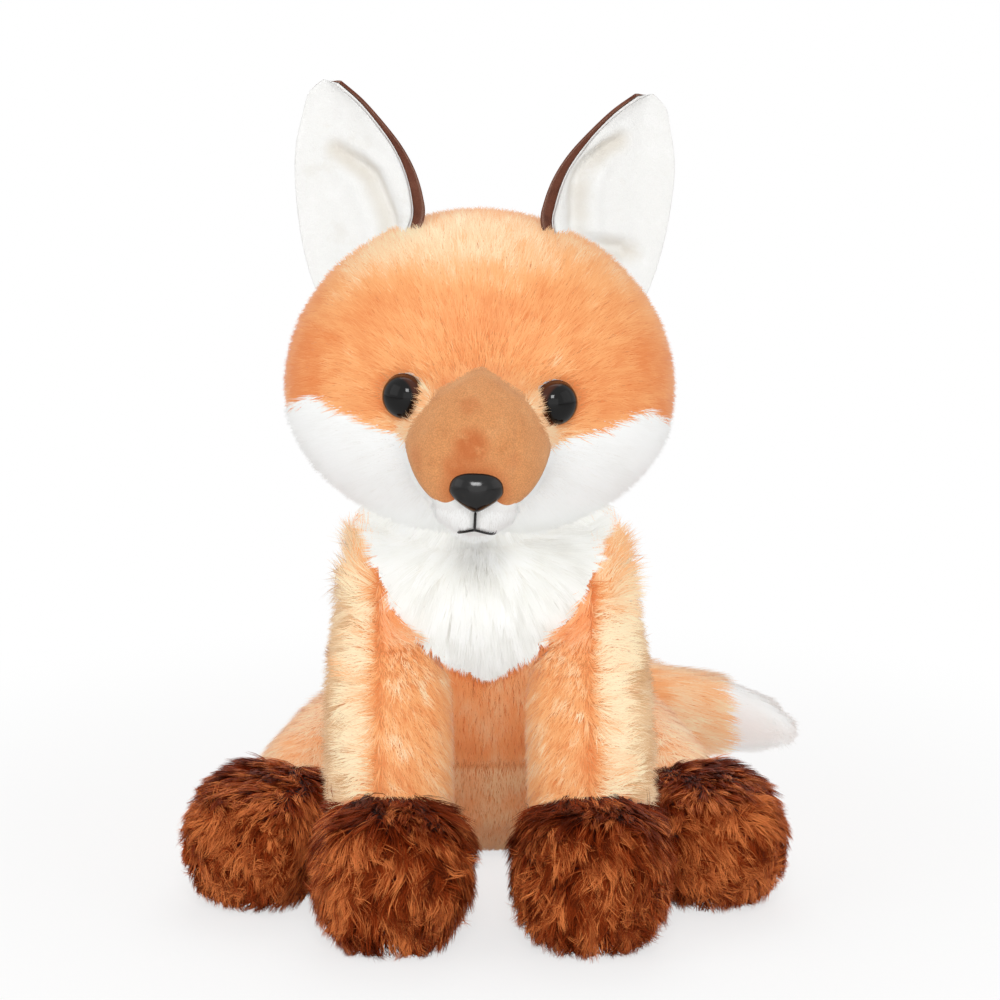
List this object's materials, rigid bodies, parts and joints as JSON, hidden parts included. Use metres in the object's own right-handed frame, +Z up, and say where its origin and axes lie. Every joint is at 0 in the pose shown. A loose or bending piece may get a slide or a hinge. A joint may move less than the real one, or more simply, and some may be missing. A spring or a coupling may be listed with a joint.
{
  "type": "plush fox",
  "caption": "Seated plush fox with upright ears, white bib, dark paws and a bushy tail; head, ears, legs and tail flex at their seams.",
  "frame": {"origin": "middle of the flat part of the seat, on the surface that the fox sits on", "axes": "+Z up, the fox faces -Y, its own left side is at +X"},
  "size_m": [0.2298, 0.2338, 0.2907],
  "materials": {
    "orange_plush": "long silky pile",
    "white_plush": "long silky pile",
    "dark_plush": "long shiny pile",
    "brown_suede": "very short suede-like pile",
    "tan_plush": "shorter pile",
    "white_velour": "short smooth pile",
    "brown_velour": "short smooth pile",
    "black_plastic": "polished",
    "washer_plastic": "as moulded",
    "black_thread": "twisted thread",
    "fibre": "loose polyester fibre"
  },
  "bodies": {
    "body": {"belly_cover": "tan_plush", "body_cover": "orange_plush", "body_filling": "fibre", "chest_bib": "white_plush"},
    "neck": {"neck_filling": "fibre"},
    "head": {"cheek_cover_left": "white_plush", "cheek_cover_right": "white_plush", "chin_cover": "white_velour", "eye_left": "black_plastic", "eye_right": "black_plastic", "eye_washer_left": "washer_plastic", "eye_washer_right": "washer_plastic", "head_crown_cover": "orange_plush", "head_filling": "fibre", "mouth_stitching": "black_thread", "muzzle_cover": "brown_suede", "nose": "black_plastic", "nose_washer": "washer_plastic"},
    "ear_left": {"ear_back_left": "brown_velour", "ear_lining_left": "white_velour"},
    "ear_right": {"ear_back_right": "brown_velour", "ear_lining_right": "white_velour"},
    "front_leg_left": {"front_leg_cover_left": "orange_plush", "front_leg_filling_left": "fibre", "front_paw_cover_left": "dark_plush"},
    "front_leg_right": {"front_leg_cover_right": "orange_plush", "front_leg_filling_right": "fibre", "front_paw_cover_right": "dark_plush"},
    "hind_leg_left": {"hind_leg_cover_left": "orange_plush", "hind_leg_filling_left": "fibre", "hind_paw_cover_left": "dark_plush"},
    "hind_leg_right": {"hind_leg_cover_right": "orange_plush", "hind_leg_filling_right": "fibre", "hind_paw_cover_right": "dark_plush"},
    "tail": {"tail_cover": "orange_plush", "tail_filling": "fibre", "tail_tip_cover": "white_plush"}
  },
  "joints": [
    {"name": "neck_turn", "type": "hinge", "parent": "body", "child": "neck", "pos_m": [-0.0044, -0.04, 0.1285], "axis": [0, 0, 1], "range_deg": [-30, 30], "stiffness_Nm_per_rad": 0.4},
    {"name": "head_nod", "type": "hinge", "parent": "neck", "child": "head", "pos_m": [-0.0044, -0.04, 0.1285], "axis": [-1, 0, 0], "range_deg": [-4, 12], "stiffness_Nm_per_rad": 0.9},
    {"name": "ear_flex_left", "type": "hinge", "parent": "head", "child": "ear_left", "pos_m": [0.04067, -0.04486, 0.22942], "axis": [0.8047, 0.3352, -0.49], "range_deg": [-10, 10], "stiffness_Nm_per_rad": 0.01},
    {"name": "ear_flex_right", "type": "hinge", "parent": "head", "child": "ear_right", "pos_m": [-0.0437, -0.04486, 0.2331], "axis": [0.8443, -0.3352, 0.418], "range_deg": [-10, 10], "stiffness_Nm_per_rad": 0.01},
    {"name": "shoulder_left", "type": "hinge", "parent": "body", "child": "front_leg_left", "pos_m": [0.035, -0.055, 0.112], "axis": [-1, 0, 0], "range_deg": [0, 45], "stiffness_Nm_per_rad": 0.3},
    {"name": "shoulder_right", "type": "hinge", "parent": "body", "child": "front_leg_right", "pos_m": [-0.035, -0.055, 0.112], "axis": [-1, 0, 0], "range_deg": [0, 45], "stiffness_Nm_per_rad": 0.3},
    {"name": "hip_left", "type": "hinge", "parent": "body", "child": "hind_leg_left", "pos_m": [0.044, 0.005, 0.036], "axis": [-1, 0, 0], "range_deg": [0, 10], "stiffness_Nm_per_rad": 0.3},
    {"name": "hip_right", "type": "hinge", "parent": "body", "child": "hind_leg_right", "pos_m": [-0.044, 0.005, 0.036], "axis": [-1, 0, 0], "range_deg": [0, 10], "stiffness_Nm_per_rad": 0.3},
    {"name": "tail_swing", "type": "hinge", "parent": "body", "child": "tail", "pos_m": [0, 0.052, 0.032], "axis": [0, 0, 1], "range_deg": [-10, 25], "stiffness_Nm_per_rad": 0.05}
  ]
}
